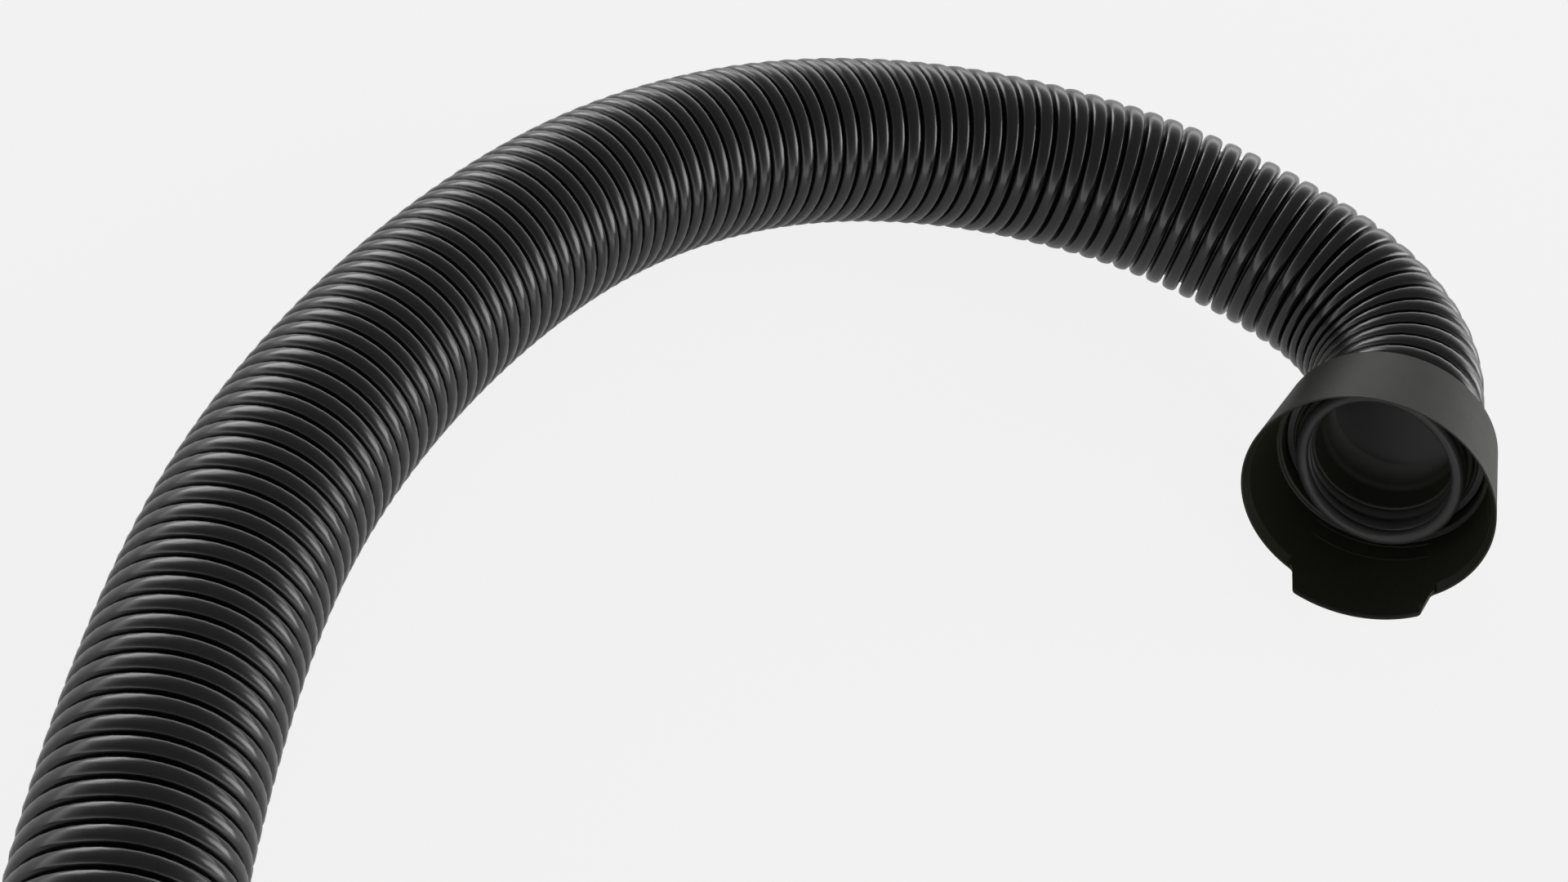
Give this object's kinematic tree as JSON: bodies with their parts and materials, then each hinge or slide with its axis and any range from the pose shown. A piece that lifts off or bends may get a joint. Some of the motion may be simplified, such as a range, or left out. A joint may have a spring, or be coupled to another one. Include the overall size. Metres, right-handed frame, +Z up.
{
  "type": "corrugated suction hose",
  "caption": "Ribbed flexible suction hose lying in a loop, with a flared swivel bell cuff and locking tongue at one end and a plain push-in swivel cuff at the other.",
  "frame": {"origin": "on the floor, under the middle of the whole part's box", "axes": "+Z up from the floor the hose lies on; the bell cuff's axis is along Y, its mouth facing -Y; the push-in cuff's axis is along X, its mouth facing -X"},
  "size_m": [0.4645, 0.616, 0.07],
  "materials": {
    "hose_plastic": "glossy near-black blow-moulded plastic",
    "cuff_plastic": "satin dark warm grey moulded plastic",
    "sleeve_plastic": "satin dark grey moulded plastic",
    "seal_rubber": "dull black rubber",
    "ring_steel": "plain spring steel"
  },
  "bodies": {
    "hose": {"hose_tube": "hose_plastic", "end_sleeve": "sleeve_plastic", "mouth_seal": "seal_rubber", "retaining_ring": "ring_steel", "swivel_seal": "seal_rubber", "tail_sleeve": "sleeve_plastic", "tail_retaining_ring": "ring_steel", "tail_swivel_seal": "seal_rubber"},
    "bell": {"bell_cuff": "cuff_plastic"},
    "spigot": {"tail_cuff": "cuff_plastic"}
  },
  "joints": [
    {"name": "bell_swivel", "type": "hinge", "parent": "hose", "child": "bell", "pos_m": [0.198, 0.2235, 0.0355], "axis": [0, 1, 0], "continuous": true},
    {"name": "tail_swivel", "type": "hinge", "parent": "hose", "child": "spigot", "pos_m": [-0.1745, -0.278, 0.03], "axis": [1, 0, 0], "continuous": true}
  ]
}
